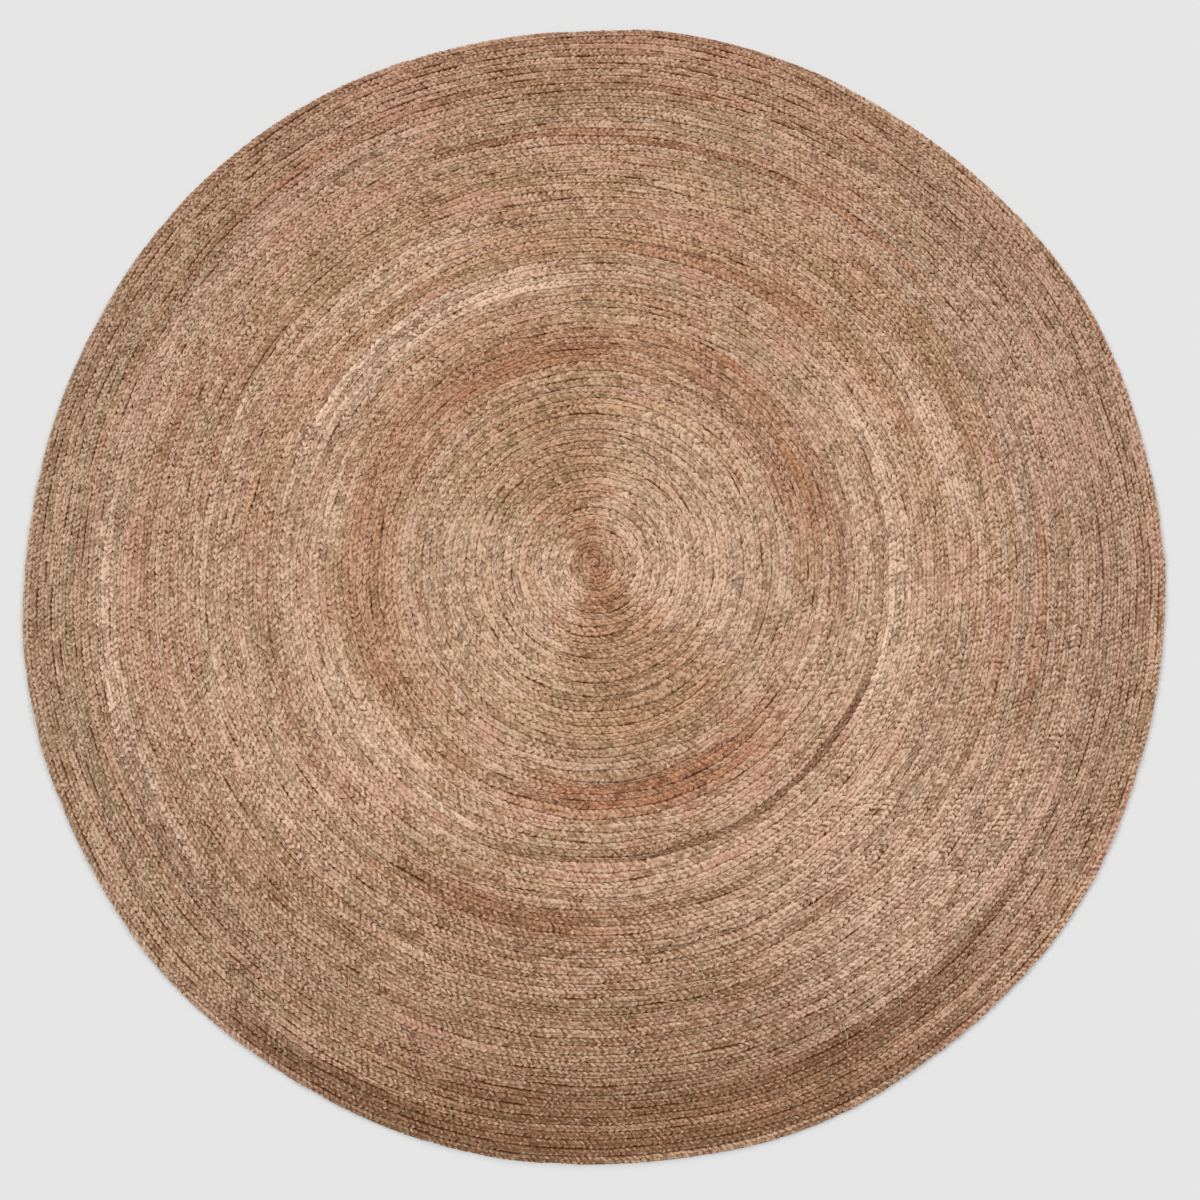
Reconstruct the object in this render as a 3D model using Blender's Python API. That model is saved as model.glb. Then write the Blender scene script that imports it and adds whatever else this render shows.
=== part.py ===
"""Round jute rug: one flat three-strand braid, wound from the middle outwards and sewn edge to edge.

Metres, +Z up. The underside lies on the floor at z = 0 and the origin is at its middle. Seen from
above, the braid winds anticlockwise. Each turn stands up as a low round rib, and the end of the
braid is thinned out and tucked against the turn before it, so the rug stays round.
"""

from math import cos, degrees, radians, sin, tau

import bmesh
import bpy

OBJECT_NAME = "round_jute_rug"
NODE_NAME = "braided_rug"

# The braid
BRAID_WIDTH = 0.013
TURNS = 77
THICKNESS = 0.009
SEAM_DEPTH = 0.0028          # how far the sewn line between two turns lies below their crowns
RUG_RADIUS = BRAID_WIDTH * TURNS

# The rim: the outer side of the last turn, rounded down to the floor
RIM_HEIGHT = 0.0045
SHOULDER_INSET, SHOULDER_HEIGHT = 0.0018, 0.0073
FOOT_INSET, FOOT_HEIGHT = 0.0016, 0.0016
BASE_INSET = 0.0045

# The end of the braid
END_ANGLE = radians(86)      # where the braid stops, anticlockwise from +X
END_TAPER = radians(27)      # the stretch over which its last turn thins to nothing
EASING_TURNS = 12            # turns over which the winding eases from a spiral to plain rings

# How far the rim swells out past a true circle, or draws in from it, at each bearing
MILLIMETRE = 0.001
RIM_SWELLS = [
    # degrees anticlockwise from +X, millimetres outwards
    (0, -1.2), (10, -4.0), (30, 3.4), (50, -3.8), (64, 0.4), (80, 3.8), (93, -2.4),
    (106, -1.6), (121, 4.6), (134, 3.4), (148, -1.4), (168, -5.6), (181, -2.8), (195, 2.8),
    (209, -0.2), (223, 2.8), (238, -1.2), (258, 0.2), (273, -2.8), (293, 4.5), (309, 0.6),
    (321, 3.0), (337, -2.0), (351, -3.8),
]
SWELL_REACH = 5              # the power with which a swell dies away towards the middle

# The facets: fewer round a turn where the turns are small
FACETS = 40
INNER_FACET_STEPS = [
    # up to this turn, corners only at every so many of the facets
    (10, 4), (30, 2),
]

JUTE_COLOUR = (0.46, 0.31, 0.19, 1.0)
JUTE_ROUGHNESS = 0.9
WELD_DISTANCE = 0.00002


def clear_scene():
    for item in list(bpy.data.objects):
        bpy.data.objects.remove(item, do_unlink=True)


def ease(x):
    """0 to 1 along a smooth step."""
    x = min(max(x, 0.0), 1.0)
    return x * x * (3.0 - 2.0 * x)


def mix(a, b, share):
    return a + (b - a) * share


def rim_swell(bearing):
    """How far out of round the rim is at a bearing in radians, read smoothly from the table."""
    place = degrees(bearing) % 360.0
    closed_table = RIM_SWELLS + [(360.0, RIM_SWELLS[0][1])]
    index = max(row for row in range(len(RIM_SWELLS)) if RIM_SWELLS[row][0] <= place)
    start, start_swell = closed_table[index]
    stop, stop_swell = closed_table[index + 1]
    share = ease((place - start) / (stop - start))
    return mix(start_swell, stop_swell, share) * MILLIMETRE


def tuck(wound):
    """0 along the rug, rising to 1 where the last turn has thinned to nothing."""
    return ease((wound - (tau - END_TAPER)) / END_TAPER)


def seam_radius(seam, wound):
    """Radius of a sewn line, counted from the middle, after winding this far from the end's bearing.

    A full turn further on, each line meets the start of the next one.
    """
    if seam >= TURNS:
        return RUG_RADIUS
    ringed = ease((seam - (TURNS - 1 - EASING_TURNS)) / EASING_TURNS)
    growth = mix(wound / tau, tuck(wound), ringed)
    return BRAID_WIDTH * (seam + growth)


def ribbed_top():
    """(radius, height) functions of the rings from the middle out: a seam, a crown, and so on."""
    rings = []
    for turn in range(TURNS):
        rings.append(seam_ring(turn))
        rings.append(crown_ring(turn))
    return rings


def seam_ring(turn):
    last = turn == TURNS - 1

    def ring(wound):
        height = THICKNESS - SEAM_DEPTH
        if last:
            height = mix(height, RIM_HEIGHT, tuck(wound))
        return seam_radius(turn, wound), height
    return ring


def crown_ring(turn):
    last = turn == TURNS - 1

    def ring(wound):
        radius = (seam_radius(turn, wound) + seam_radius(turn + 1, wound)) / 2.0
        height = mix(THICKNESS, RIM_HEIGHT, tuck(wound)) if last else THICKNESS
        return radius, height
    return ring


def rim_rings():
    """The rounded outer side, from the shoulder down to the edge of the flat underside."""
    def shoulder(wound):
        fullness = ease(wound * FACETS / tau) * (1.0 - tuck(wound))
        return RUG_RADIUS - SHOULDER_INSET * fullness, mix(RIM_HEIGHT, SHOULDER_HEIGHT, fullness)

    def widest(wound):
        return RUG_RADIUS, RIM_HEIGHT

    def foot(wound):
        return RUG_RADIUS - FOOT_INSET, FOOT_HEIGHT

    def base(wound):
        return RUG_RADIUS - BASE_INSET, 0.0

    return [shoulder, widest, foot, base]


def facet_step(ring_index):
    turn = ring_index // 2
    for up_to_turn, step in INNER_FACET_STEPS:
        if turn < up_to_turn:
            return step
    return 1


def wind_surface():
    """The top and the rim: a flat grid wound round the middle and welded to itself, turn to turn."""
    rings = ribbed_top() + rim_rings()
    surface = bmesh.new()
    bmesh.ops.create_grid(surface, x_segments=FACETS, y_segments=len(rings) - 1, size=0.5)
    for vert in surface.verts:
        facet = round((vert.co.x + 0.5) * FACETS)
        ring_index = round((vert.co.y + 0.5) * (len(rings) - 1))
        step = facet_step(ring_index)
        wound = tau * (facet - facet % step) / FACETS
        radius, height = rings[ring_index](wound)
        bearing = END_ANGLE + wound
        radius += rim_swell(bearing) * (radius / RUG_RADIUS) ** SWELL_REACH
        vert.co = (radius * cos(bearing), radius * sin(bearing), height)
    bmesh.ops.remove_doubles(surface, verts=surface.verts, dist=WELD_DISTANCE)
    return surface


def close_surface(surface):
    """Fills the eye of the spiral and the flat underside, then turns all faces outwards."""
    open_edges = [edge for edge in surface.edges if edge.is_boundary]
    filled = bmesh.ops.holes_fill(surface, edges=open_edges, sides=0)
    bmesh.ops.triangulate(surface, faces=filled["faces"])
    bmesh.ops.recalc_face_normals(surface, faces=surface.faces)


def centre_outline(surface):
    """Moves the rug so that the middle of its outline is at the origin."""
    for axis in range(2):
        places = [vert.co[axis] for vert in surface.verts]
        middle = (min(places) + max(places)) / 2.0
        for vert in surface.verts:
            vert.co[axis] -= middle


def jute_material():
    material = bpy.data.materials.new("natural_jute")
    material.use_nodes = True
    shader = material.node_tree.nodes["Principled BSDF"]
    shader.inputs["Base Color"].default_value = JUTE_COLOUR
    shader.inputs["Roughness"].default_value = JUTE_ROUGHNESS
    shader.inputs["Metallic"].default_value = 0.0
    material.diffuse_color = JUTE_COLOUR
    return material


def make_rug(collection):
    surface = wind_surface()
    close_surface(surface)
    centre_outline(surface)
    mesh = bpy.data.meshes.new(NODE_NAME)
    surface.to_mesh(mesh)
    surface.free()
    mesh.materials.append(jute_material())
    mesh.shade_smooth()
    mesh.set_sharp_from_angle(angle=radians(50))
    rug = bpy.data.objects.new(NODE_NAME, mesh)
    collection.objects.link(rug)
    return rug


def main():
    clear_scene()
    collection = bpy.data.collections.new(OBJECT_NAME)
    bpy.context.scene.collection.children.link(collection)
    make_rug(collection)


main()
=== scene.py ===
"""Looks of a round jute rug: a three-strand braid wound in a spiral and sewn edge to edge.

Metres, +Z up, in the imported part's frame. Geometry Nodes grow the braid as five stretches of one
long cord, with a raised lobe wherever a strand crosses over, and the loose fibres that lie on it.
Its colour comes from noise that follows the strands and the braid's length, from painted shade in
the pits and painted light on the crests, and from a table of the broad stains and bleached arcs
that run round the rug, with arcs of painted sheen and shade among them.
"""

from math import cos, degrees, pi, radians, sin, sqrt, tau

import bpy
import numpy as np
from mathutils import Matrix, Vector


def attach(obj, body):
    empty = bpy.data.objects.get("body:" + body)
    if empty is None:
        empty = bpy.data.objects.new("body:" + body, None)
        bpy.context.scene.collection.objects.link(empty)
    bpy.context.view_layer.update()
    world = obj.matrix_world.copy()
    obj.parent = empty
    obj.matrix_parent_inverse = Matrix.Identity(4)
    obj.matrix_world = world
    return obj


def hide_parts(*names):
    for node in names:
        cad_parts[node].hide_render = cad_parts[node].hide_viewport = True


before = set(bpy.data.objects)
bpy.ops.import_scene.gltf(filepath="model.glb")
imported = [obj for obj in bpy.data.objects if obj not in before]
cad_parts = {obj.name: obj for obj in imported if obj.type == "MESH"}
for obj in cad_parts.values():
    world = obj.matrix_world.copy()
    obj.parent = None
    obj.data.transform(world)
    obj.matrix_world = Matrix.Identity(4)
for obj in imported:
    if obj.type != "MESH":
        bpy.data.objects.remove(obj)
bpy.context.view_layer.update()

# ---------------------------------------------------------------- the rug, in metres

MILLIMETRE = 0.001
BRAID_WIDTH = 0.013
TURNS = 77
RUG_RADIUS = BRAID_WIDTH * TURNS
RIM_HEIGHT = 0.0045         # height at which the rim is widest

END_ANGLE = radians(86)     # where the braid stops, anticlockwise from +X
END_TAPER = radians(27)     # the stretch over which its last turn thins to nothing
END_FLATNESS = 0.3          # share of its rib's height that is left there
EASING_TURNS = 12           # turns over which the winding eases from a spiral to plain rings
LAST_TURN_END = 0.0001      # share of a turn by which the braid stops short of a full one

RIM_SWELLS = [
    # degrees anticlockwise from +X, millimetres outwards
    (0, -1.2), (10, -4.0), (30, 3.4), (50, -3.8), (64, 0.4), (80, 3.8), (93, -2.4),
    (106, -1.6), (121, 4.6), (134, 3.4), (148, -1.4), (168, -5.6), (181, -2.8), (195, 2.8),
    (209, -0.2), (223, 2.8), (238, -1.2), (258, 0.2), (273, -2.8), (293, 4.5), (309, 0.6),
    (321, 3.0), (337, -2.0), (351, -3.8),
]
SWELL_REACH = 5             # the power with which a swell dies away towards the middle
SWELL_SPAN = 0.008          # the curve that holds the swells runs from minus to plus this much
RIM_FACETS = 40             # the solid's outline has this many corners

# ---------------------------------------------------------------- the braid's strands

CROSSING = 0.0114           # from one strand's crossing to the next on the same side of the braid
LENGTH_EASE = 0.08          # share by which crossings are longer in the eye, and shorter at the rim
STEPS = 4                   # lines of points along each crossing
STRETCHES = 5
EYE_TURNS = -0.5            # the braid starts this far before its first turn, right in the eye

# The braid's section, from the keel under it round over the top
ACROSS, HEIGHT, AHEAD, SHIFT, SWELL = range(5)
SECTION = [
    # across (0 to 1), height, how far ahead in crossings, share of the lobes' shifts, and of swell
    (0.50, 0.0000, 0.50, 0.0, 0.0),
    (-0.03, 0.0071, 0.05, 0.5, -1.0),
    (0.25, 0.0080, 0.31, 1.0, 0.0),
    (0.50, 0.0067, 0.58, 0.0, 0.0),
    (0.75, 0.0080, 0.31, 1.0, 0.0),
    (1.03, 0.0071, 0.05, 0.5, 1.0),
    (0.50, 0.0000, 0.50, 0.0, 0.0),
]
MIDDLE_ROW = 3
SIDES = len(SECTION) - 1
SMOOTH_ROWS = 2.2           # faces nearer the middle row than this are smooth, the ones below flat
FURTHEST_AHEAD = max(row[AHEAD] for row in SECTION)
# How far each row rises or dips at the four steps of a lobe: a strand comes up from under its
# neighbour, lies over and dips again
KEEL_RELIEF = [0.0, 0.0, 0.0, 0.0]
SIDE_RELIEF = [-0.0011, 0.0000, 0.0004, 0.0000]
CROWN_RELIEF = [-0.0015, -0.0002, 0.0008, 0.0000]
MIDDLE_RELIEF = [-0.0012, 0.0001, 0.0000, 0.0001]
RELIEF = KEEL_RELIEF + SIDE_RELIEF + CROWN_RELIEF + MIDDLE_RELIEF \
    + CROWN_RELIEF + SIDE_RELIEF + KEEL_RELIEF

LEAST_LOBE = 0.1            # a lobe has this share of the relief at least
LOBE_SPREAD = 1.8           # and up to this much more
PIT_SPREAD = 2.0            # the dip before it has up to this share
PIT_SEED = 7.0
LOBE_SHIFT = 0.30           # crossings by which a lobe may come early or late
LOBE_LIFT = 0.0012          # how much higher the highest lobe lies than the lowest
LOBE_SWELL = 14.0           # share of the braid's width per metre of relief
NUDGE = 0.1                 # keeps a whole number whole when it is rounded down

# What changes slowly along the braid, as noise
SLOW_NOISE = {
    # waves a crossing, seed, detail, roughness
    "fullness": (0.12, 21.0, 2.0, 0.5),
    "drift": (0.40, 5.0, 2.0, 0.5),
    "lag": (0.05, 9.0, 1.0, 0.5),
    "pace": (0.12, 17.0, 1.0, 0.5),
    "parted": (0.15, 13.0, 3.0, 0.7),
}
FULLNESS = (0.3, 0.7)       # noise over which the lobes go from half to one and a half times as full
GAPE = (0.54, 0.68)         # noise over which a line between strands or turns opens
MIDDLE_DRIFT = 0.34         # share of the width by which the braid's middle wanders
FAR_LAG = 1.6               # crossings by which the far strands run early or late, for a noise of 1
# Shares of the braid's length from and to which a value changes, and its value before and after
PACE_EASE = (0.1, 0.6, 2.8, 1.9)
RELIEF_EASE = (0.1, 0.5, 0.8, 1.0)
OPEN_MIDDLE_DROP = 0.0018   # how much deeper the line along the braid's middle lies where it opens
INNER_FILL = 0.0005         # how much shallower the lines between the strands are inside
INNER_FILL_TURNS = (30.0, 56.0)     # and the turns over which that ends

# ---------------------------------------------------------------- the sewn lines between turns

SEAM_WAVER = 0.0115         # how far a sewn line wanders, for a noise of 1
SLOW_WAVES, SLOW_SHARE = 3.0, 1.2
QUICK_WAVES, QUICK_SHARE = 11.0, 0.8
GAPE_WAVES = 12.0
NEXT_TURN = 2.3             # how far apart in the noise two turns lie, side by side
GAPE_NEXT_TURN = 1.7        # times that where a line opens
# Radii from and to which the lines wander more or less, and the share before and after
SEAM_FREEDOM = [
    (0.01, 0.08, 0.0, 1.0),
    (0.80, 0.95, 1.0, 0.4),
    (RUG_RADIUS - 0.002, RUG_RADIUS, 1.0, 0.3),
]
RIM_GAPE = (0.84, 0.90, 0.0, 0.06)      # the same for how readily they open
OPEN_SEAM_DROP = 0.0026     # how much deeper a sewn line lies where it opens
EYE_LAP = 0.0024            # how far the innermost turns lap over the eye
EYE_REACH = 0.02
RIM_DROP = 0.0016           # the last turn's outer side is lower and rounder
RIM_INSET = 0.06            # share of the braid's width

BAKE_ACROSS = [0.0, 0.10, 0.30, 0.50, 0.70, 0.90, 1.0]
BAKE_STRIPS = 56
WELD = 0.000004

# ---------------------------------------------------------------- formulas made of nodes


class Wire:
    """A node's output that takes part in sums, so that a formula reads as one."""

    def __init__(self, tree, socket):
        self.tree = tree
        self.socket = socket

    def math(self, operation, *others):
        node = self.tree.nodes.new("ShaderNodeMath")
        node.operation = operation
        for value, socket in zip((self, *others), node.inputs):
            plug(value, socket)
        return Wire(self.tree, node.outputs[0])

    def __add__(self, other):
        return self.math("ADD", other)

    def __sub__(self, other):
        return self.math("SUBTRACT", other)

    def __rsub__(self, other):
        return self.math("MULTIPLY", -1.0).math("ADD", other)

    def __mul__(self, other):
        return self.math("MULTIPLY", other)

    def __truediv__(self, other):
        return self.math("DIVIDE", other)

    def __mod__(self, other):
        return self.math("FLOORED_MODULO", other)

    def floor(self):
        return self.math("FLOOR")

    def round(self):
        return self.math("ROUND")

    def size(self):
        return self.math("ABSOLUTE")

    def least(self, other):
        return self.math("MINIMUM", other)

    def most(self, other):
        return self.math("MAXIMUM", other)

    def above(self, other):
        return self.math("GREATER_THAN", other)

    def below(self, other):
        return self.math("LESS_THAN", other)

    def ramp(self, low, high, to_low=0.0, to_high=1.0):
        node = self.tree.nodes.new("ShaderNodeMapRange")
        node.interpolation_type = "SMOOTHSTEP"
        for name, value in (("Value", self), ("From Min", low), ("From Max", high),
                            ("To Min", to_low), ("To Max", to_high)):
            plug(value, node.inputs[name])
        return Wire(self.tree, node.outputs["Result"])

    def blend(self, start, stop):
        """start where this is 0, stop where it is 1."""
        return self * stop + (1.0 - self) * start


def plug(value, socket):
    if isinstance(value, Wire):
        value.tree.links.new(value.socket, socket)
    else:
        socket.default_value = value


def vector(tree, x, y, z):
    node = tree.nodes.new("ShaderNodeCombineXYZ")
    for value, socket in zip((x, y, z), node.inputs):
        plug(value, socket)
    return Wire(tree, node.outputs[0])


def split(tree, place):
    """The three parts of a place or of a map."""
    node = tree.nodes.new("ShaderNodeSeparateXYZ")
    plug(place, node.inputs[0])
    return [Wire(tree, socket) for socket in node.outputs]


def heading_of(angle):
    """East and north parts of a step of length 1 at a bearing in radians."""
    return angle.math("COSINE"), angle.math("SINE")


def noise(tree, place, scale, detail=0.0, roughness=0.5):
    node = tree.nodes.new("ShaderNodeTexNoise")
    plug(place, node.inputs["Vector"])
    node.inputs["Scale"].default_value = scale
    node.inputs["Detail"].default_value = detail
    node.inputs["Roughness"].default_value = roughness
    return Wire(tree, node.outputs[0])


def dice(tree, x, y):
    """A number from 0 to 1 for each pair of whole numbers, the same on every run."""
    node = tree.nodes.new("ShaderNodeTexWhiteNoise")
    node.noise_dimensions = "2D"
    plug(vector(tree, x, y, 0.0), node.inputs["Vector"])
    return Wire(tree, node.outputs["Value"])


def pick(tree, index, values):
    """The value at an index, from a short list."""
    node = tree.nodes.new("GeometryNodeIndexSwitch")
    node.data_type = "FLOAT"
    while len(node.index_switch_items) < len(values):
        node.index_switch_items.new()
    plug(index, node.inputs["Index"])
    for position, value in enumerate(values):
        node.inputs[str(position)].default_value = value
    return Wire(tree, node.outputs[0])


def new_tree(name, kind, inputs, outputs):
    """An empty node tree with its named inputs, their starting values, and its named outputs."""
    tree = bpy.data.node_groups.new(name, kind)
    for label, socket_type, value in inputs:
        socket = tree.interface.new_socket(label, in_out="INPUT", socket_type=socket_type)
        if value is not None:
            socket.default_value = value
    for label, socket_type in outputs:
        tree.interface.new_socket(label, in_out="OUTPUT", socket_type=socket_type)
    return tree


def given_values(tree):
    """The tree's own inputs by name."""
    node = tree.nodes.new("NodeGroupInput")
    return {socket.name: Wire(tree, socket) for socket in node.outputs if socket.name}


GEOMETRY = "NodeSocketGeometry"
WHOLE = "NodeSocketInt"
NUMBER = "NodeSocketFloat"
COLOUR = "NodeSocketColor"


def move_points(tree, flow, place):
    node = tree.nodes.new("GeometryNodeSetPosition")
    tree.links.new(flow, node.inputs["Geometry"])
    plug(place, node.inputs["Position"])
    return node.outputs[0]


def store(tree, flow, name, kind, domain, value):
    node = tree.nodes.new("GeometryNodeStoreNamedAttribute")
    node.data_type = kind
    node.domain = domain
    node.inputs["Name"].default_value = name
    tree.links.new(flow, node.inputs["Geometry"])
    plug(value, node.inputs["Value"])
    return node.outputs["Geometry"]


def finish_tree(tree, flow, material):
    real = tree.nodes.new("GeometryNodeRealizeInstances")
    tree.links.new(flow, real.inputs["Geometry"])
    paint = tree.nodes.new("GeometryNodeSetMaterial")
    paint.inputs["Material"].default_value = material
    tree.links.new(real.outputs[0], paint.inputs["Geometry"])
    result = tree.nodes.new("NodeGroupOutput")
    tree.links.new(paint.outputs[0], result.inputs["Geometry"])


def grown(name, tree, sizes):
    """Grows a piece from a Geometry Nodes tree and returns it as a plain mesh object."""
    seed = bpy.data.objects.new(name + "_seed", bpy.data.meshes.new(name + "_seed"))
    bpy.context.scene.collection.objects.link(seed)
    grower = seed.modifiers.new("grow", "NODES")
    grower.node_group = tree
    for socket in tree.interface.items_tree:
        if socket.in_out == "INPUT" and socket.name in sizes:
            grower[socket.identifier] = sizes[socket.name]
    seed.update_tag()
    shown = seed.evaluated_get(bpy.context.evaluated_depsgraph_get())
    mesh = bpy.data.meshes.new_from_object(shown)
    mesh.name = name
    bpy.data.objects.remove(seed, do_unlink=True)
    piece = bpy.data.objects.new(name, mesh)
    bpy.context.scene.collection.objects.link(piece)
    return piece


# ---------------------------------------------------------------- where the braid runs


def rim_swell_curve(tree, bearing_turns):
    """The rim's swell, in metres, at a bearing given in turns."""
    node = tree.nodes.new("ShaderNodeFloatCurve")
    points = node.mapping.curves[0].points
    rows = [(angle / 360.0, swell) for angle, swell in RIM_SWELLS] + [(1.0, RIM_SWELLS[0][1])]
    while len(points) < len(rows):
        points.new(0.5, 0.5)
    for point, (place, swell) in zip(points, rows):
        point.location = (place, 0.5 + swell * MILLIMETRE / SWELL_SPAN / 2.0)
        point.handle_type = "AUTO_CLAMPED"
    node.mapping.update()
    plug(bearing_turns, node.inputs["Value"])
    return (Wire(tree, node.outputs[0]) - 0.5) * (2.0 * SWELL_SPAN)


def outline_middle():
    """Where the middle of the solid's outline lies, measured from the spiral's eye."""
    rows = RIM_SWELLS + [(360.0, RIM_SWELLS[0][1])]
    corners = []
    for facet in range(RIM_FACETS):
        bearing = END_ANGLE + tau * facet / RIM_FACETS
        place = degrees(bearing) % 360.0
        index = max(row for row in range(len(RIM_SWELLS)) if RIM_SWELLS[row][0] <= place)
        share = (place - rows[index][0]) / (rows[index + 1][0] - rows[index][0])
        share = share * share * (3.0 - 2.0 * share)
        swell = rows[index][1] + (rows[index + 1][1] - rows[index][1]) * share
        radius = RUG_RADIUS + swell * MILLIMETRE
        corners.append((radius * cos(bearing), radius * sin(bearing)))
    xs, ys = zip(*corners)
    return (min(xs) + max(xs)) / 2.0, (min(ys) + max(ys)) / 2.0


def braid_length(turns):
    """Length of the braid's centre line from the start of its first turn."""
    return pi * BRAID_WIDTH * (turns * turns + turns)


def turns_at(length):
    """The turn that the braid is in after this length."""
    return sqrt(0.25 + length / (pi * BRAID_WIDTH)) - 0.5


def length_after(crossings):
    """Length of the braid from the eye, after so many crossings."""
    return CROSSING * (crossings * (1.0 + LENGTH_EASE) - crossings ** 2 * LENGTH_EASE / ALL_CROSSINGS)


MIDDLE = outline_middle()
WHOLE_LENGTH = braid_length(TURNS - 2.0 * LAST_TURN_END) - braid_length(EYE_TURNS)
ALL_CROSSINGS = int(WHOLE_LENGTH / CROSSING)


def seam_line(tree, seam, wound):
    """Radius of a sewn line, counted from the middle, with its wandering, and how open it is."""
    ringed = seam.ramp(TURNS - 1 - EASING_TURNS, TURNS - 1)
    tuck = wound.ramp(tau - END_TAPER, tau)
    growth = ringed.blend(wound / tau, tuck)
    radius = ((seam + growth) * BRAID_WIDTH).least(RUG_RADIUS)
    east, north = [part * radius for part in heading_of(wound + END_ANGLE)]
    depth = (seam + wound / tau) * NEXT_TURN

    def waves(scale, layer, detail=0.0, roughness=0.5):
        place = vector(tree, east * scale, north * scale, layer)
        return noise(tree, place, 1.0, detail, roughness)

    slow = waves(SLOW_WAVES, depth) - 0.5
    quick = waves(QUICK_WAVES, depth) - 0.5
    freedom = 1.0
    for ease in SEAM_FREEDOM:
        freedom = radius.ramp(*ease) * freedom
    opened = waves(GAPE_WAVES, depth * GAPE_NEXT_TURN, 3.0, 0.75) + radius.ramp(*RIM_GAPE)
    lapped = radius.ramp(0.0, EYE_REACH, EYE_LAP, 0.0)
    wandered = radius - lapped + (slow * SLOW_SHARE + quick * QUICK_SHARE) * freedom * SEAM_WAVER
    return wandered, opened.ramp(*GAPE)


# ---------------------------------------------------------------- the braid


def section_value(tree, row, column):
    return pick(tree, row, [entry[column] for entry in SECTION])


def slow_noise(tree, crossings, name):
    waves, seed, detail, roughness = SLOW_NOISE[name]
    return noise(tree, vector(tree, crossings * waves, seed, 0.0), 1.0, detail, roughness)


def eased(crossings, ease):
    start, stop, before, after = ease
    return crossings.ramp(ALL_CROSSINGS * start, ALL_CROSSINGS * stop, before, after)


def braid_grid(tree, steps):
    """A flat grid, and where its points are along the braid and round its section."""
    grid = tree.nodes.new("GeometryNodeMeshGrid")
    plug(steps, grid.inputs["Size X"])
    grid.inputs["Size Y"].default_value = SIDES
    plug(steps + 1.0, grid.inputs["Vertices X"])
    grid.inputs["Vertices Y"].default_value = SIDES + 1
    position = tree.nodes.new("GeometryNodeInputPosition")
    x, y, _ = split(tree, Wire(tree, position.outputs[0]))
    return grid.outputs["Mesh"], x + steps / 2.0, y + SIDES / 2.0


def wind_points(tree, given, along, around, steps):
    """Each point's place, how many turns out it is, and its bearing."""
    body = steps - 2.0

    # The line of points it is on, its row of the section, and its lobe. The far strands cross half
    # a lobe after the near ones, and the keel moves only once a lobe
    line = along.round()
    row = around.round()
    within = line.least(steps - line).least(1.0)
    far_side = row.above(MIDDLE_ROW + 0.5)
    keel = (row - MIDDLE_ROW).size().above(MIDDLE_ROW - 0.5)
    off_middle = (row - MIDDLE_ROW).size().least(1.0)
    step = (line - 1.0).most(0.0).least(body) + given["First crossing"] * STEPS
    step = keel.blend(step, ((step + NUDGE) / STEPS).floor() * STEPS)
    crossings = step / STEPS
    lobe_place = (step + far_side * (STEPS / 2) + NUDGE) / STEPS
    lobe = lobe_place.floor()
    step_in_lobe = ((lobe_place - lobe) * STEPS).floor()
    chance = dice(tree, lobe, far_side)

    # Its place in the section, and how much it rises or dips
    swell = section_value(tree, row, SWELL) * within
    shift = section_value(tree, row, SHIFT) * within
    drift = slow_noise(tree, crossings, "drift") - 0.5
    across = section_value(tree, row, ACROSS) + drift * (1.0 - swell * swell) * MIDDLE_DRIFT
    across = within.blend(0.5, across)
    height = within.blend(RIM_HEIGHT, section_value(tree, row, HEIGHT))
    lag = (slow_noise(tree, crossings, "lag") - 0.5) * far_side * FAR_LAG
    pace = (slow_noise(tree, crossings, "pace") - 0.5) * (1.0 - keel) * within
    ahead = section_value(tree, row, AHEAD) + shift * ((chance - 0.5) * LOBE_SHIFT + lag) \
        + pace * eased(crossings, PACE_EASE)
    lobe_size = chance * LOBE_SPREAD + LEAST_LOBE
    pit_size = dice(tree, lobe, row + PIT_SEED) * PIT_SPREAD
    size = step_in_lobe.least(1.0).blend(pit_size, lobe_size)
    fullness = slow_noise(tree, crossings, "fullness").ramp(*FULLNESS) + 0.5
    relief = pick(tree, row * STEPS + step_in_lobe, RELIEF) * size * given["Relief"] * within \
        * fullness * eased(crossings, RELIEF_EASE)

    # How far along the braid it is, and from that its turn
    count = crossings + ahead - FURTHEST_AHEAD
    distance = (count * (1.0 + LENGTH_EASE) - count * count * (LENGTH_EASE / ALL_CROSSINGS)) \
        * given["Crossing length"] + braid_length(EYE_TURNS)
    turned = (distance / (given["Braid width"] * pi) + 0.25).most(0.0).math("SQRT") - 0.5
    turned = turned.least(TURNS - LAST_TURN_END)
    turn = turned.floor()
    wound = (turned - turn) * tau
    bearing = wound + END_ANGLE

    # Between the two sewn lines of that turn
    inner, inner_open = seam_line(tree, turn, wound)
    outer, outer_open = seam_line(tree, turn + 1.0, wound)
    opened = far_side.blend(inner_open, outer_open)
    last = turn.above(TURNS - 1.5)
    rim = last * far_side * swell
    side = swell * relief * LOBE_SWELL - rim * RIM_INSET
    radius = (across + side).blend(inner, outer)
    radius = radius + rim_swell_curve(tree, (bearing / tau) % 1.0) \
        * (radius / RUG_RADIUS).most(0.0).math("POWER", SWELL_REACH)

    parted = slow_noise(tree, crossings, "parted").ramp(*GAPE)
    lift = height + relief + shift * (chance - 0.5) * LOBE_LIFT \
        + (1.0 - shift) * (1.0 - keel) * turned.ramp(*INNER_FILL_TURNS, INNER_FILL, 0.0) \
        - swell * swell * opened * OPEN_SEAM_DROP - rim * RIM_DROP \
        - off_middle.blend(parted * OPEN_MIDDLE_DROP, 0.0)
    thinned = last * wound.ramp(tau - END_TAPER, tau)
    lift = thinned.blend(lift, (lift - RIM_HEIGHT) * END_FLATNESS + RIM_HEIGHT)

    east, north = heading_of(bearing)
    place = vector(tree, east * radius - MIDDLE[0], north * radius - MIDDLE[1], lift.most(0.0))
    return place, turned, bearing


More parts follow.
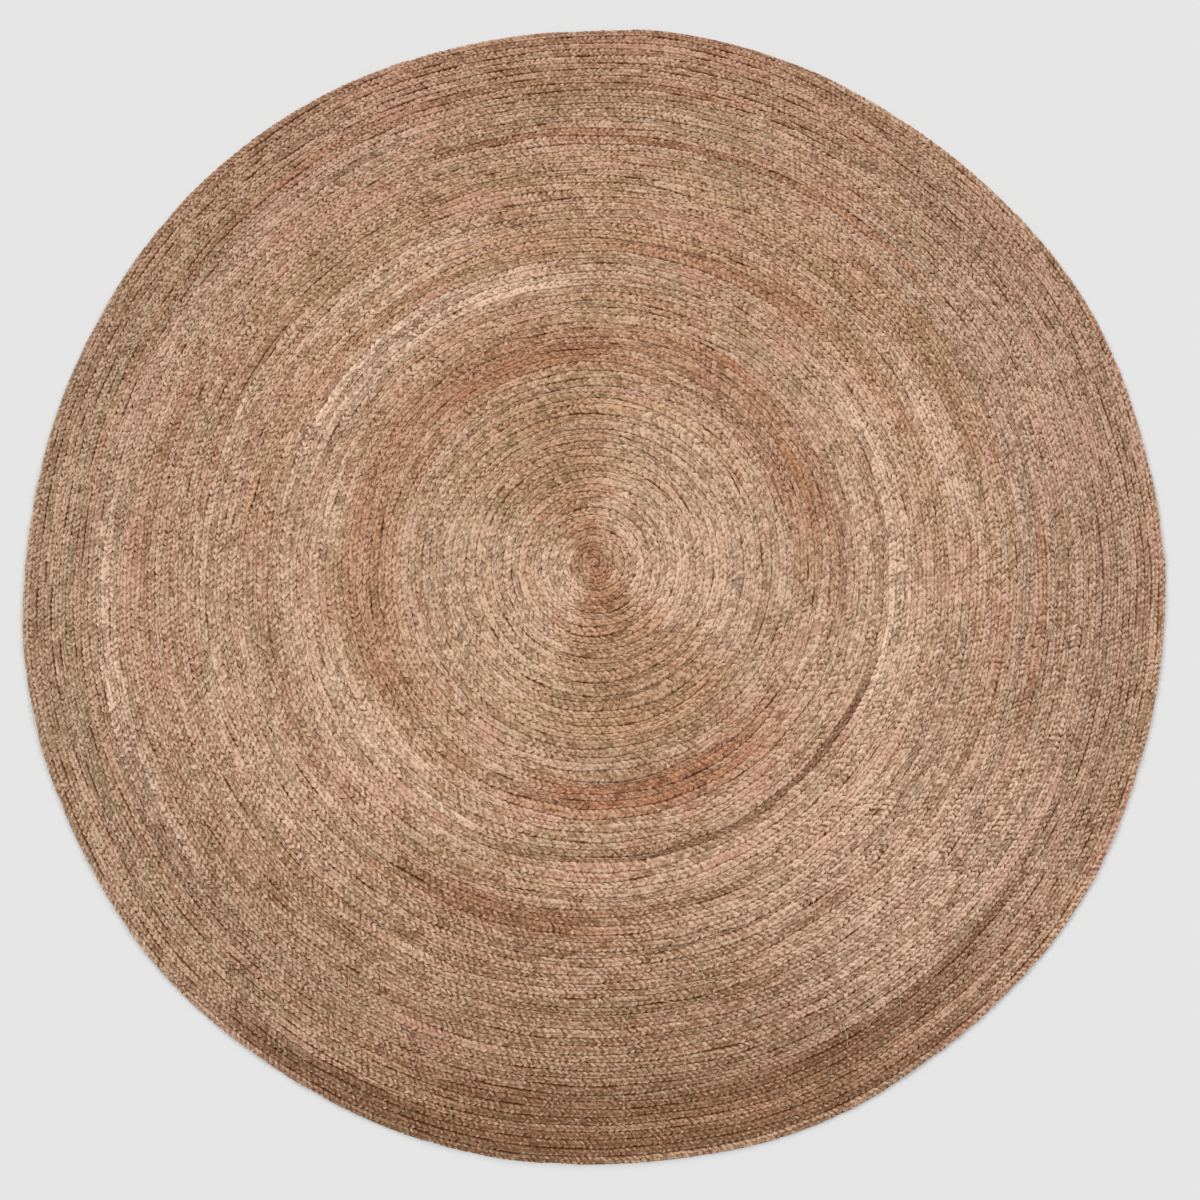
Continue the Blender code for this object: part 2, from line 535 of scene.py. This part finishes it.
STRAND_GAP = 17.0           # keeps the strands' noises apart
STRAND_SEED = 3.0
STRAND_WAVES = 11.0         # a metre
RUSSET_SEED = 40.0
RUSSET_WAVES = 3.0
CLOUD_WAVES = 4.5           # the broad tints' waves round the rug
CLOUD_NEXT_TURN = 0.28      # how far apart in that noise two turns lie


def store_dye(tree, flow, given, along, around, steps, turned, bearing):
    """Stores what the colours go by: the turn, and noise for each lobe, each strand and the rug."""
    body = steps - 2.0
    step = (along.floor() - 1.0).most(0.0).least(body - 1.0) + given["First crossing"] * STEPS
    far_side = around.floor().above(MIDDLE_ROW - 0.5)
    lobe = ((step + far_side * (STEPS / 2) + NUDGE) / STEPS).floor()
    strand = (far_side - lobe) % 3.0
    run = vector(tree, lobe * CROSSING, strand * STRAND_GAP, STRAND_SEED)
    # A sum takes the mean of a vector's parts, which is a run of its own for each strand too
    russet_run = run + RUSSET_SEED
    east, north = heading_of(bearing)
    cloud = vector(tree, east * CLOUD_WAVES, north * CLOUD_WAVES, turned * CLOUD_NEXT_TURN)
    for name, domain, value in (
            ("turned", "POINT", turned),
            ("strand_tone", "FACE", noise(tree, run, STRAND_WAVES, 3.0, 0.75)),
            ("tint", "POINT", noise(tree, cloud, 1.0, 3.0, 0.65)),
            ("strand_russet", "FACE", noise(tree, russet_run, RUSSET_WAVES, 3.0, 0.7)),
            ("lobe_chance", "FACE", dice(tree, lobe, far_side))):
        flow = store(tree, flow, name, "FLOAT", domain, value)
    return flow


def bake_map(tree, along, around, steps):
    """Lays the stretch out in strips side by side, so that its texture has room for every lobe."""
    strip_steps = (steps / BAKE_STRIPS).math("CEIL")
    on_face = tree.nodes.new("GeometryNodeFieldOnDomain")
    on_face.domain = "FACE"
    on_face.data_type = "FLOAT"
    plug((along / strip_steps).floor(), on_face.inputs["Value"])
    strip = Wire(tree, on_face.outputs[0])
    across = pick(tree, around.round(), BAKE_ACROSS)
    return vector(tree, along / strip_steps - strip, (strip + across) / BAKE_STRIPS, 0.0)


def wound_braid_tree(material):
    """One stretch of the braid, from its first crossing on."""
    tree = new_tree("wound_braid", "GeometryNodeTree", [
        ("Geometry", GEOMETRY, None),
        ("First crossing", WHOLE, 0),
        ("Crossings", WHOLE, 4000),
        ("Braid width", NUMBER, BRAID_WIDTH),
        ("Crossing length", NUMBER, CROSSING),
        ("Relief", NUMBER, 1.0),
    ], [("Geometry", GEOMETRY)])
    given = given_values(tree)

    # A line of points at each step, and one more at each end that closes the section
    steps = given["Crossings"] * STEPS + 2.0
    flow, along, around = braid_grid(tree, steps)
    place, turned, bearing = wind_points(tree, given, along, around, steps)
    flow = store_dye(tree, flow, given, along, around, steps, turned, bearing)

    # The braid's own map: crossings along it, and once round it
    weave = vector(tree, along / STEPS, around / SIDES, 0.0)
    flow = store(tree, flow, "weave", "FLOAT2", "CORNER", weave)
    flow = store(tree, flow, "OFBake", "FLOAT2", "CORNER", bake_map(tree, along, around, steps))

    smooth = tree.nodes.new("GeometryNodeSetShadeSmooth")
    tree.links.new(move_points(tree, flow, place), smooth.inputs["Geometry"])
    on_top = (around - MIDDLE_ROW).size().below(SMOOTH_ROWS)
    plug(on_top * along.least(steps - along).above(1.0), smooth.inputs["Selection"])
    weld = tree.nodes.new("GeometryNodeMergeByDistance")
    tree.links.new(smooth.outputs[0], weld.inputs["Geometry"])
    weld.inputs["Distance"].default_value = WELD
    finish_tree(tree, weld.outputs[0], material)
    return tree


def make_braid(material):
    """The stretches of the braid from the eye out, each with the width and length of its band."""
    tree = wound_braid_tree(material)
    pieces = []
    for number in range(STRETCHES):
        first = round(ALL_CROSSINGS * number / STRETCHES)
        stop = round(ALL_CROSSINGS * (number + 1) / STRETCHES)
        sizes = {"First crossing": first, "Crossings": stop - first}
        piece = grown(f"braid_stretch_{number + 1}", tree, sizes)
        inner = turns_at(length_after(first)) * BRAID_WIDTH
        outer = (turns_at(length_after(stop)) + 0.5) * BRAID_WIDTH
        pieces.append((piece, (outer - inner, pi * (outer + inner))))
    return pieces


# ---------------------------------------------------------------- loose fibres

FIBRES = [
    # name, colour, how many, mean length, seed
    ("pale_fibres", (0.80, 0.60, 0.42, 1.0), 1000, 0.030, 20),
    ("dark_fibres", (0.16, 0.075, 0.03, 1.0), 450, 0.038, 40),
]
FIBRE_POINTS = 6
FIBRE_SIDES = 3
FIBRE_RADIUS = 0.0004
FIBRE_REACH = 0.94          # how far out they start, in metres from the eye
FIBRE_FOOT = 0.0074         # height at which their ends go into the braid
FIBRE_SLANT = 1.9           # radians between the most inward and the most outward one
FIBRE_BEND = 1.6
LEAST_LENGTH = 0.3          # share of the mean length
LENGTH_SPREAD = 1.2
LEAST_ARCH = 0.0014
ARCH_SPREAD = 0.0018


def straight_fibres(tree, count):
    """So many copies of a straight line of points, all in one place."""
    points = tree.nodes.new("GeometryNodePoints")
    plug(count, points.inputs["Count"])
    line = tree.nodes.new("GeometryNodeCurvePrimitiveLine")
    parted = tree.nodes.new("GeometryNodeResampleCurve")
    parted.inputs["Count"].default_value = FIBRE_POINTS
    tree.links.new(line.outputs[0], parted.inputs["Curve"])
    scatter = tree.nodes.new("GeometryNodeInstanceOnPoints")
    tree.links.new(points.outputs[0], scatter.inputs["Points"])
    tree.links.new(parted.outputs[0], scatter.inputs["Instance"])
    real = tree.nodes.new("GeometryNodeRealizeInstances")
    tree.links.new(scatter.outputs[0], real.inputs["Geometry"])
    return real.outputs[0]


def loose_fibres_tree(material):
    """Single fibres that lie over the braid in low arches, more or less along it."""
    tree = new_tree("loose_fibres", "GeometryNodeTree", [
        ("Geometry", GEOMETRY, None),
        ("Fibres", WHOLE, 1000),
        ("Seed", WHOLE, 0),
        ("Length", NUMBER, 0.03),
    ], [("Geometry", GEOMETRY)])
    given = given_values(tree)
    flow = straight_fibres(tree, given["Fibres"])

    # Which fibre a point is on, and its share of the way along it
    index = Wire(tree, tree.nodes.new("GeometryNodeInputIndex").outputs[0])
    fibre = ((index + 0.5) / FIBRE_POINTS).floor()
    share = (index - fibre * FIBRE_POINTS) / (FIBRE_POINTS - 1)
    radius_dice, bearing_dice, slant_dice, length_dice, bend_dice, arch_dice = [
        dice(tree, fibre, given["Seed"] + throw) for throw in (1.0, 2.0, 3.0, 4.0, 5.0, 6.0)]

    radius = radius_dice.math("SQRT") * FIBRE_REACH
    bearing = bearing_dice * tau
    heading = bearing + pi / 2.0 + (slant_dice - 0.5) * FIBRE_SLANT
    length = given["Length"] * (length_dice * LENGTH_SPREAD + LEAST_LENGTH) * share
    bend = (bend_dice - 0.5) * share * FIBRE_BEND
    arch = arch_dice * ARCH_SPREAD + LEAST_ARCH
    start_east, start_north = heading_of(bearing)
    east, north = heading_of(heading)
    place = vector(tree, start_east * radius + (east - bend * north) * length - MIDDLE[0],
                   start_north * radius + (north + bend * east) * length - MIDDLE[1],
                   share * (1.0 - share) * 4.0 * arch + FIBRE_FOOT)

    profile = tree.nodes.new("GeometryNodeCurvePrimitiveCircle")
    profile.inputs["Resolution"].default_value = FIBRE_SIDES
    profile.inputs["Radius"].default_value = FIBRE_RADIUS
    sweep = tree.nodes.new("GeometryNodeCurveToMesh")
    tree.links.new(move_points(tree, flow, place), sweep.inputs["Curve"])
    tree.links.new(profile.outputs[0], sweep.inputs["Profile Curve"])
    sweep.inputs["Fill Caps"].default_value = True
    finish_tree(tree, sweep.outputs[0], material)
    return tree


def make_fibres():
    pieces = []
    for name, colour, count, length, seed in FIBRES:
        tree = loose_fibres_tree(fibre_material(name, colour))
        piece = grown(name, tree, {"Fibres": count, "Length": length, "Seed": seed})
        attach(piece, "root")
        pieces.append(piece)
    return pieces


# ---------------------------------------------------------------- stains, bleached arcs, and painted sheen and shade

# Where the jute of whole turns is of another colour, or worn another tone, and where sheen and shade
# are painted in as arcs. Each row: from and to which share of the radius, from and to how many
# degrees anticlockwise from +X, and how strongly
STAINS_AND_PAINTED_LIGHT = {
    "ochre": [
        (0.030, 0.310, -30, 390, 0.26), (0.050, 0.320, 84, 128, 0.25),
        (0.020, 0.340, 262, 318, 0.25), (0.385, 0.405, 18, 34, 0.6),
        (0.340, 0.500, 60, 240, 0.20), (0.575, 0.625, 35, 175, 0.30),
        (0.560, 0.760, 8, 150, 0.16),
    ],
    "ash": [
        (0.740, 1.000, 290, 410, 0.35), (0.640, 0.740, 290, 352, 0.25),
        (0.840, 1.000, 110, 240, 0.25), (0.120, 0.330, 322, 382, 0.25),
    ],
    "russet": [
        (0.000, 0.035, -30, 390, 0.5), (0.000, 0.080, 80, 130, 0.6),
        (0.000, 0.090, 255, 325, 0.6), (0.100, 0.140, 262, 300, 0.3),
        (0.350, 0.445, -8, 62, 0.38), (0.385, 0.420, 4, 36, 0.32),
        (0.350, 0.440, 60, 215, 0.42), (0.365, 0.400, 80, 128, 0.45),
        (0.365, 0.440, 250, 324, 0.5), (0.380, 0.425, 262, 306, 0.5),
        (0.575, 0.602, 50, 92, 0.6), (0.598, 0.615, 20, 60, 0.25),
        (0.593, 0.634, 236, 274, 0.9), (0.575, 0.590, 222, 246, 0.4),
        (0.680, 0.700, 35, 76, 0.3), (0.694, 0.710, 140, 176, 0.35),
        (0.780, 0.805, 48, 120, 0.5), (0.778, 0.798, 125, 210, 0.35),
        (0.880, 0.912, 78, 116, 0.5), (0.895, 0.905, 120, 260, 0.7),
        (0.890, 1.000, 60, 150, 0.25), (0.765, 0.795, 330, 362, 0.4),
        (0.910, 0.980, 245, 310, 0.15), (0.485, 0.500, 60, 155, 0.25),
    ],
    "straw": [
        # The two rows within 0.30 of the radius are painted sheen: pale arcs to either side of the
        # middle.
        (0.060, 0.300, 325, 440, 0.45), (0.040, 0.300, 150, 245, 0.45),
        (0.500, 0.560, 98, 158, 0.60), (0.500, 0.560, 180, 226, 0.5),
        (0.600, 0.660, 105, 140, 0.45), (0.450, 0.500, 158, 176, 0.5),
        (0.450, 0.500, 204, 240, 0.55), (0.600, 0.640, 178, 232, 0.35),
        (0.520, 0.660, 285, 360, 0.3), (0.520, 0.580, 340, 392, 0.35),
        (0.630, 0.680, -2, 32, 0.5), (0.640, 0.700, 160, 230, 0.4),
        (0.400, 0.560, 325, 400, 0.3), (0.830, 0.875, 178, 212, 0.5),
        (0.740, 0.870, 150, 212, 0.10), (0.650, 0.880, 300, 330, 0.3),
    ],
    "umber": [
        # Near the middle, the rows within 0.34 of the radius at 84 to 126 and 258 to 310 degrees are
        # painted shade, dark wedges between the arcs of painted sheen. Further out, the broad rows from
        # 0.56 of the radius out, between about 212 and 316 degrees, are painted shade: darker towards
        # the rim at 270 degrees.
        (0.000, 0.045, 130, 270, 0.30), (0.000, 0.300, 84, 126, 0.20),
        (0.160, 0.280, 84, 112, 0.14), (0.000, 0.340, 258, 310, 0.32),
        (0.370, 0.420, 262, 304, 0.5), (0.370, 0.400, 84, 128, 0.2),
        (0.492, 0.500, 90, 155, 0.35), (0.494, 0.506, 250, 296, 0.8),
        (0.506, 0.516, 288, 330, 0.8), (0.602, 0.622, 240, 272, 0.45),
        (0.700, 0.708, 290, 306, 0.8), (0.892, 1.000, 246, 316, 0.55),
        (0.905, 0.942, 256, 308, 0.6), (0.958, 1.000, 236, 306, 0.5),
        (0.560, 0.750, 240, 300, 0.3), (0.740, 0.890, 212, 300, 0.26),
        (0.740, 0.890, 250, 296, 0.22), (0.880, 1.000, 318, 420, 0.18),
        (0.955, 1.000, 222, 275, 0.35), (0.972, 1.000, 50, 200, 0.22),
    ],
    "olive": [
        (0.299, 0.311, 85, 130, 0.3), (0.880, 1.000, 130, 240, 0.3),
        (0.740, 0.880, 208, 250, 0.15), (0.150, 0.280, 30, 80, 0.2),
        (0.150, 0.330, 130, 260, 0.15),
    ],
}
ARC_EDGE = 0.006          # share of the radius over which an arc fades in or out
ARC_END = 7.0             # degrees over which it starts or ends
ARC_RAG = 9.0             # degrees by which its ends differ from turn to turn
ARC_UNEVEN = 0.5          # share by which its strength differs from turn to turn
FAR_INSIDE = 40.0           # degrees inside its ends, from where a long arc has its full strength


def smooth_step(low, high, value):
    share = np.clip((value - low) / (high - low), 0.0, 1.0)
    return share * share * (3.0 - 2.0 * share)


def within_half_turn(angle):
    """An angle in degrees, brought between -180 and 180."""
    return (angle + 180.0) % 360.0 - 180.0


def stain_strengths(arcs, turned, bearing, seed):
    """How strongly the arcs of one tone, painted sheen and shade among them, colour each point: ragged
    from turn to turn, as dyed yarn is.
    """
    chance = np.random.default_rng(seed)
    turn = np.clip(np.floor(turned).astype(int), 0, TURNS - 1)
    share = (turned + 0.5) / TURNS
    total = np.zeros(len(turned))
    for inner, outer, start, stop, strength in arcs:
        rag_start, rag_stop, rag_strength = chance.uniform(-1.0, 1.0, (3, TURNS))
        from_start = within_half_turn(bearing - start - ARC_RAG * rag_start[turn])
        to_stop = within_half_turn(stop - bearing + ARC_RAG * rag_stop[turn])
        half = (stop - start) / 2.0
        from_middle = np.abs(within_half_turn(bearing - (start + stop) / 2.0))
        inside = from_middle < half + ARC_RAG + ARC_END
        from_end = np.where(from_middle < half - FAR_INSIDE, ARC_END,
                            np.minimum(from_start, to_stop))
        ends = smooth_step(-ARC_END, ARC_END, from_end)
        band = smooth_step(inner - ARC_EDGE, inner + ARC_EDGE, share) \
            * smooth_step(outer + ARC_EDGE, outer - ARC_EDGE, share)
        total += inside * ends * band * strength * (1.0 + ARC_UNEVEN * rag_strength[turn])
    return np.clip(total, 0.0, 1.0)


def read_attribute(mesh, name, width=1):
    values = np.zeros(len(mesh.attributes[name].data) * width, np.float32)
    mesh.attributes[name].data.foreach_get("value" if width == 1 else "vector", values)
    return values if width == 1 else values.reshape(-1, width)


def stain(piece):
    """Stores how strongly each tone's arcs colour each point of a stretch."""
    mesh = piece.data
    turned = read_attribute(mesh, "turned").astype(float)
    places = read_attribute(mesh, "position", 3)
    bearing = np.degrees(np.arctan2(places[:, 1] + MIDDLE[1], places[:, 0] + MIDDLE[0])) % 360.0
    for seed, (tone, arcs) in enumerate(STAINS_AND_PAINTED_LIGHT.items()):
        strength = stain_strengths(arcs, turned, bearing, seed)
        layer = mesh.attributes.new("tone_arc_" + tone, "FLOAT", "POINT")
        layer.data.foreach_set("value", strength.astype(np.float32))


# ---------------------------------------------------------------- materials

JUTE_COLOURS = {
    "Sand": (0.482, 0.276, 0.161, 1.0),
    "Straw": (0.726, 0.500, 0.357, 1.0),
    # the colour of the painted highlight flecks on the crests
    "Highlight": (0.890, 0.645, 0.475, 1.0),
    "Pink": (0.620, 0.310, 0.225, 1.0),
    "Ochre": (0.500, 0.270, 0.120, 1.0),
    "Ash": (0.500, 0.340, 0.250, 1.0),
    "Olive": (0.320, 0.235, 0.120, 1.0),
    "Russet": (0.375, 0.150, 0.070, 1.0),
    "Umber": (0.188, 0.088, 0.036, 1.0),
    # the colour of the painted shade in the pits, partly the darker jute down in the weave
    "Pit Shade": (0.190, 0.053, 0.007, 1.0),
}
ARC_ORDER = ["Ochre", "Ash", "Straw", "Olive", "Umber", "Russet"]
FLOOR_COLOUR = (0.8, 0.8, 0.8, 1.0)
JUTE_ROUGHNESS, JUTE_GLOSS = 0.6, 0.22
FLOOR_ROUGHNESS, FLOOR_GLOSS = 1.0, 0.0
BUMP_STRENGTH, BUMP_HEIGHT = 0.5, 0.0006

# Noise on the strands: waves a crossing, waves round the braid, seed
FIBRE_WAVES = (4.0, 6.0, 0.0)
HIGHLIGHT_WAVES = (3.0, 6.0, 5.0)
STREAK_WAVES = (0.9, 12.0, 9.0)
GRAIN_WAVES = 190.0         # a metre
DYE_WAVES = 2.2             # a metre of the braid's length

# How much each of these makes the jute paler than its mean, or darker
# The crests' share is painted light and shade: the jute paler on its crests and darker down their sides
PALE_SHARES = {
    "tone": 0.9, "chance": 0.7, "fibre": 2.4, "grain": 2.8, "streak": 2.8, "dye": 3.2, "crest_light": 1.1,
}
PALE_MEAN = 0.2
UMBER_SHARE = -0.55
# How much each of these makes it pinker, or more olive
TINT_SHARES = {"tint": 2.7, "tone": 0.6, "dye": 0.8}
OLIVE_SHARE = -0.7
MOST_TINT = 0.6
RUSSET_NOISE = (0.58, 0.72)
RUSSET_CHANCE = 0.12        # how much a single lobe may differ from its strand
RUSSET_SHARE = 0.5
# A lobe under any arc keeps some of its light and dark
ARC_CHANCE, ARC_LEAST = 0.5, 0.55
SHADE_SHARE, SHADE_MEAN = 0.45, -0.09

# Heights between which the colour goes from the painted shade of the pits to the strands' own, the
# crests are painted lighter, and painted highlight flecks catch the light
PIT_SHADE_HEIGHTS = (0.0040, 0.0074)
CREST_LIGHT_HEIGHTS = (0.0060, 0.0090)
HIGHLIGHT_HEIGHTS = (0.0070, 0.0088)
HIGHLIGHT_NOISE = (0.50, 0.70)
HIGHLIGHT_CHANCE = 0.15
HIGHLIGHT_SHARE = 0.6
GRAIN_HOLLOW, FIBRE_HOLLOW = 0.003, 0.002
UNDERSIDE_TONE = 0.0082     # the underside is as pale as the top is at this height
UNDERSIDE = (0.34, 0.37)    # shares of the way round the section, from the top, where it starts


def attribute(tree, name):
    node = tree.nodes.new("ShaderNodeAttribute")
    node.attribute_name = name
    return Wire(tree, node.outputs["Fac"])


def mixed(tree, share, start, stop, blend="MIX"):
    """Colours mixed: start where share is 0, stop where it is 1."""
    node = tree.nodes.new("ShaderNodeMix")
    node.data_type = "RGBA"
    node.blend_type = blend
    node.clamp_factor = True
    plug(share, node.inputs["Factor"])
    for value, name in ((start, "A"), (stop, "B")):
        socket = next(s for s in node.inputs if s.name == name and s.type == "RGBA")
        plug(value, socket)
    return Wire(tree, next(s for s in node.outputs if s.type == "RGBA"))


def summed(shares, values):
    """Values from 0 to 1, each counted from its middle and by its share."""
    total = 0.0
    for name, share in shares.items():
        total = (values[name] - 0.5) * share + total
    return total


def strand_noise(tree, along, around, waves):
    """Noise drawn out along each strand."""
    waves_along, waves_around, seed = waves
    return noise(tree, vector(tree, along * waves_along, around * waves_around, seed), 1.0, 1.0)


def braided_jute_group():
    """Colour of the braid: strand by strand, lobe by lobe, stained, with arcs of painted sheen and
    shade, painted shade down in the weave, and painted light and highlight flecks on the crests.
    """
    inputs = [(name, COLOUR, colour) for name, colour in JUTE_COLOURS.items()]
    inputs += [("Contrast", NUMBER, 1.0), ("Pit Shade Strength", NUMBER, 1.0)]
    outputs = [("Color", COLOUR), ("Fibre", NUMBER)]
    tree = new_tree("braided_jute", "ShaderNodeTree", inputs, outputs)
    given = given_values(tree)

    weave = tree.nodes.new("ShaderNodeUVMap")
    weave.uv_map = "weave"
    along, around, _ = split(tree, Wire(tree, weave.outputs[0]))
    place = Wire(tree, tree.nodes.new("ShaderNodeTexCoord").outputs["Object"])
    turned = attribute(tree, "turned")
    length = (turned * turned + turned) * (BRAID_WIDTH * pi)
    values = {
        "tone": attribute(tree, "strand_tone"),
        "tint": attribute(tree, "tint"),
        "chance": attribute(tree, "lobe_chance"),
        "fibre": strand_noise(tree, along, around, FIBRE_WAVES),
        "streak": strand_noise(tree, along, around, STREAK_WAVES),
        "grain": noise(tree, place, GRAIN_WAVES, 1.0, 0.6),
        # The dye changes slowly along the braid's length, so one turn differs from the next
        "dye": noise(tree, vector(tree, length * DYE_WAVES, 0.0, 0.0), 1.0, 2.0, 0.5),
    }
    chance = values["chance"]

    # Height in the weave, with the hollows between fibres, by which shade and light are painted below
    under = (around - 0.5).size().ramp(*UNDERSIDE)
    up = under.blend(split(tree, place)[2], UNDERSIDE_TONE)
    hollow = (values["grain"] - 0.5) * GRAIN_HOLLOW + (values["fibre"] - 0.5) * FIBRE_HOLLOW
    # painted light and shade by height: paler on the crests, darker down their sides
    values["crest_light"] = (up + hollow).ramp(*CREST_LIGHT_HEIGHTS)

    # The bare jute
    # pale carries the painted light and shade of the crests as well as the jute's own tones
    pale = summed(PALE_SHARES, values) * given["Contrast"] + PALE_MEAN
    colour = mixed(tree, pale.most(0.0), given["Sand"], given["Straw"])
    colour = mixed(tree, (pale * UMBER_SHARE).most(0.0), colour, given["Umber"])
    red = (attribute(tree, "strand_russet") + (chance - 0.5) * RUSSET_CHANCE).ramp(*RUSSET_NOISE)
    colour = mixed(tree, red * RUSSET_SHARE, colour, given["Russet"])
    tint = summed(TINT_SHARES, values)
    colour = mixed(tree, tint.most(0.0).least(MOST_TINT), colour, given["Pink"])
    colour = mixed(tree, (tint * OLIVE_SHARE).most(0.0).least(MOST_TINT), colour, given["Olive"])

    # The stains and the arcs of painted sheen and shade over it, which keep some of its light and dark
    bare = 1.0
    for name in ARC_ORDER:
        strength = attribute(tree, "tone_arc_" + name.lower()) * (chance * ARC_CHANCE + ARC_LEAST)
        colour = mixed(tree, strength, colour, given[name])
        bare = (1.0 - strength) * bare
    shade = (1.0 - bare) * (pale.least(1.0).most(-1.0) * SHADE_SHARE + SHADE_MEAN) + 1.0
    colour = mixed(tree, 1.0, colour, vector(tree, shade, shade, shade), "MULTIPLY")

    # Painted shade in the pits, partly the darker jute down in the weave, and painted highlight flecks
    # on the crests
    # how strongly the painted shade of the pits darkens the colour, by height
    depth = (up + hollow).ramp(*PIT_SHADE_HEIGHTS, 1.0, 0.0) * given["Pit Shade Strength"]
    colour = mixed(tree, depth, colour, given["Pit Shade"])
    # painted highlight: pale flecks where the crests catch the light
    highlight_noise = strand_noise(tree, along, around, HIGHLIGHT_WAVES)
    painted_highlight = (highlight_noise + (chance - 0.5) * HIGHLIGHT_CHANCE).ramp(*HIGHLIGHT_NOISE) * up.ramp(*HIGHLIGHT_HEIGHTS)
    colour = mixed(tree, painted_highlight * HIGHLIGHT_SHARE, colour, given["Highlight"])

    result = tree.nodes.new("NodeGroupOutput")
    plug(colour, result.inputs["Color"])
    plug(values["fibre"], result.inputs["Fibre"])
    return tree


def new_material(name, roughness, gloss):
    """A material and its shader."""
    material = bpy.data.materials.new(name)
    material.use_nodes = True
    shader = material.node_tree.nodes["Principled BSDF"]
    shader.inputs["Roughness"].default_value = roughness
    shader.inputs["Specular IOR Level"].default_value = gloss
    return material, shader


def jute_material():
    material, shader = new_material("natural_jute", JUTE_ROUGHNESS, JUTE_GLOSS)
    tree = material.node_tree
    jute = tree.nodes.new("ShaderNodeGroup")
    jute.node_tree = braided_jute_group()
    tree.links.new(jute.outputs["Color"], shader.inputs["Base Color"])
    bump = tree.nodes.new("ShaderNodeBump")
    bump.inputs["Strength"].default_value = BUMP_STRENGTH
    bump.inputs["Distance"].default_value = BUMP_HEIGHT
    tree.links.new(jute.outputs["Fibre"], bump.inputs["Height"])
    tree.links.new(bump.outputs["Normal"], shader.inputs["Normal"])
    return material


def fibre_material(name, colour):
    material, shader = new_material(name, JUTE_ROUGHNESS, JUTE_GLOSS)
    shader.inputs["Base Color"].default_value = colour
    return material


def floor_material():
    material, shader = new_material("pale_floor", FLOOR_ROUGHNESS, FLOOR_GLOSS)
    shader.inputs["Base Color"].default_value = FLOOR_COLOUR
    return material


# ---------------------------------------------------------------- stage, light and camera

FLOOR_SIZE = 30.0
WORLD_COLOUR = (1.0, 1.0, 1.0, 1.0)
WORLD_STRENGTH = 0.45
SOFT_LIGHTS = [
    # name, bearing of the light, height above the floor in degrees, strength, width in degrees
    ("left_softbox", 160, 38, 1.3, 20),
    ("right_softbox", 20, 38, 1.0, 20),
    ("top_softbox", 95, 35, 0.5, 20),
]
CAMERA_PLACE = (0.0089, -0.2307, 1.7000)
CAMERA_AIM = (0.0088, -0.0626, 0.0045)
CAMERA_LENS = 29.27
CAMERA_SENSOR = 36.0


def make_stage():
    bpy.ops.mesh.primitive_plane_add(size=FLOOR_SIZE)
    floor = bpy.context.object
    floor.name = "studio_floor"
    floor.data.materials.append(floor_material())


def make_lights():
    world = bpy.data.worlds.new("studio")
    world.use_nodes = True
    world.node_tree.nodes["Background"].inputs["Color"].default_value = WORLD_COLOUR
    world.node_tree.nodes["Background"].inputs["Strength"].default_value = WORLD_STRENGTH
    bpy.context.scene.world = world
    for name, azimuth, elevation, strength, spread in SOFT_LIGHTS:
        light = bpy.data.lights.new(name, "SUN")
        light.energy = strength
        light.angle = radians(spread)
        lamp = bpy.data.objects.new(name, light)
        bpy.context.scene.collection.objects.link(lamp)
        aim = Vector((cos(radians(azimuth)) * cos(radians(elevation)),
                      sin(radians(azimuth)) * cos(radians(elevation)), sin(radians(elevation))))
        lamp.rotation_euler = aim.to_track_quat("Z", "Y").to_euler()


def make_camera():
    camera_data = bpy.data.cameras.new("camera")
    camera_data.sensor_width = CAMERA_SENSOR
    camera_data.lens = CAMERA_LENS
    camera = bpy.data.objects.new("camera", camera_data)
    bpy.context.scene.collection.objects.link(camera)
    camera.location = CAMERA_PLACE
    aim = Vector(CAMERA_AIM) - Vector(CAMERA_PLACE)
    camera.rotation_euler = aim.to_track_quat("-Z", "Y").to_euler()
    bpy.context.scene.camera = camera


# ---------------------------------------------------------------- put together

braid = make_braid(jute_material())
fibres = make_fibres()
for piece, band in braid:
    stain(piece)
    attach(piece, "root")
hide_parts("braided_rug")

make_stage()
make_lights()
make_camera()
bpy.context.scene.view_settings.view_transform = "Standard"
